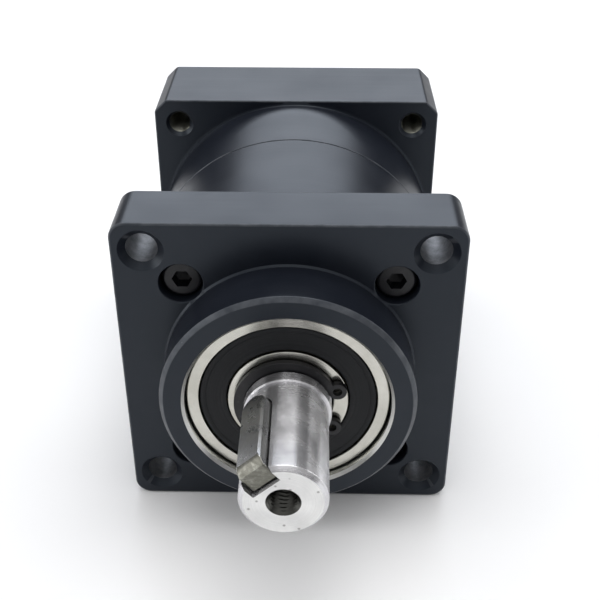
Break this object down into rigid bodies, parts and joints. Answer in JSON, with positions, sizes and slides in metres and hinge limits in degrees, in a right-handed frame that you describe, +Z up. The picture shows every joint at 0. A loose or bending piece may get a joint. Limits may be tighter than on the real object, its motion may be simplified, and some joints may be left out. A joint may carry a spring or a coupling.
{
  "type": "inline planetary gear reducer",
  "caption": "Inline planetary gear reducer with square flanges, a keyed output shaft in front, and a keyed hollow input shaft in a motor pilot recess behind.",
  "frame": {"origin": "middle of the part end to end, under the shaft axis, on the surface that the flanges' lower edges stand on", "axes": "+Z up; the shaft axis runs along Y, 30 mm up, with the output shaft towards -Y and the motor side towards +Y; +X to the right seen from the output end; the label is underneath"},
  "size_m": [0.06, 0.1064, 0.06],
  "materials": {
    "black_anodised_aluminium": "black anodised, fine horizontal brushing, bare nicks on the front edges, bare milled motor face",
    "ground_steel": "ground and polished",
    "key_steel": "dull drawn steel",
    "bearing_steel": "polished bearing steel",
    "black_oxide_steel": "black oxide, lightly oiled",
    "gear_steel": "hobbed and hardened, oiled",
    "seal_rubber": "matte nitrile rubber",
    "bronze": "sintered bronze",
    "cage_nylon": "glass-filled nylon cage with steel balls",
    "label_foil": "silver foil with thin black border lines, no lettering"
  },
  "bodies": {
    "housing": {"output_housing": "black_anodised_aluminium", "ring_gear_body": "black_anodised_aluminium", "input_housing": "black_anodised_aluminium", "label_plate": "label_foil", "front_o_ring": "seal_rubber", "rear_o_ring": "seal_rubber", "front_bearing_outer_ring": "bearing_steel", "front_bearing_front_seal": "seal_rubber", "front_bearing_rear_seal": "seal_rubber", "rear_bearing_outer_ring": "bearing_steel", "input_bearing_outer_ring": "bearing_steel", "input_bearing_front_seal": "seal_rubber", "input_bearing_rear_seal": "seal_rubber", "front_case_screw_1": "black_oxide_steel", "front_case_screw_2": "black_oxide_steel", "front_case_screw_3": "black_oxide_steel", "front_case_screw_4": "black_oxide_steel", "rear_case_screw_1": "black_oxide_steel", "rear_case_screw_2": "black_oxide_steel", "rear_case_screw_3": "black_oxide_steel", "rear_case_screw_4": "black_oxide_steel"},
    "output_rotor": {"output_shaft": "ground_steel", "output_key": "key_steel", "shaft_circlip": "black_oxide_steel", "bearing_spacer": "ground_steel", "carrier_plate": "gear_steel", "front_bearing_inner_ring": "bearing_steel", "rear_bearing_inner_ring": "bearing_steel", "planet_pin_1": "ground_steel", "planet_pin_2": "ground_steel", "planet_pin_3": "ground_steel", "carrier_screw_1": "black_oxide_steel", "carrier_screw_2": "black_oxide_steel", "carrier_screw_3": "black_oxide_steel"},
    "input_rotor": {"input_shaft": "ground_steel", "input_bearing_inner_ring": "bearing_steel"},
    "planet_1": {"planet_gear_1": "gear_steel", "planet_bush_1": "bronze"},
    "planet_2": {"planet_gear_2": "gear_steel", "planet_bush_2": "bronze"},
    "planet_3": {"planet_gear_3": "gear_steel", "planet_bush_3": "bronze"},
    "front_bearing_cage": {"front_bearing_balls": "cage_nylon"},
    "rear_bearing_cage": {"rear_bearing_balls": "cage_nylon"},
    "input_bearing_cage": {"input_bearing_balls": "cage_nylon"}
  },
  "joints": [
    {"name": "output_spin", "type": "hinge", "parent": "housing", "child": "output_rotor", "pos_m": [0, 0, 0.03], "axis": [0, 1, 0], "continuous": true},
    {"name": "input_spin", "type": "hinge", "parent": "housing", "child": "input_rotor", "pos_m": [0, 0, 0.03], "axis": [0, 1, 0], "continuous": true},
    {"name": "planet_1_spin", "type": "hinge", "parent": "output_rotor", "child": "planet_1", "pos_m": [0, 0, 0.0435], "axis": [0, 1, 0], "continuous": true},
    {"name": "planet_2_spin", "type": "hinge", "parent": "output_rotor", "child": "planet_2", "pos_m": [-0.01169, 0, 0.02325], "axis": [0, 1, 0], "continuous": true},
    {"name": "planet_3_spin", "type": "hinge", "parent": "output_rotor", "child": "planet_3", "pos_m": [0.01169, 0, 0.02325], "axis": [0, 1, 0], "continuous": true},
    {"name": "front_bearing_cage_spin", "type": "hinge", "parent": "housing", "child": "front_bearing_cage", "pos_m": [0, 0, 0.03], "axis": [0, 1, 0], "continuous": true},
    {"name": "rear_bearing_cage_spin", "type": "hinge", "parent": "housing", "child": "rear_bearing_cage", "pos_m": [0, 0, 0.03], "axis": [0, 1, 0], "continuous": true},
    {"name": "input_bearing_cage_spin", "type": "hinge", "parent": "housing", "child": "input_bearing_cage", "pos_m": [0, 0, 0.03], "axis": [0, 1, 0], "continuous": true}
  ],
  "couplings": [
    {"joint": "input_spin", "follows": "output_spin", "ratio": 4},
    {"joint": "planet_1_spin", "follows": "output_spin", "ratio": -3},
    {"joint": "planet_2_spin", "follows": "output_spin", "ratio": -3},
    {"joint": "planet_3_spin", "follows": "output_spin", "ratio": -3},
    {"joint": "front_bearing_cage_spin", "follows": "output_spin", "ratio": 0.4},
    {"joint": "rear_bearing_cage_spin", "follows": "output_spin", "ratio": 0.41},
    {"joint": "input_bearing_cage_spin", "follows": "output_spin", "ratio": 1.78}
  ]
}
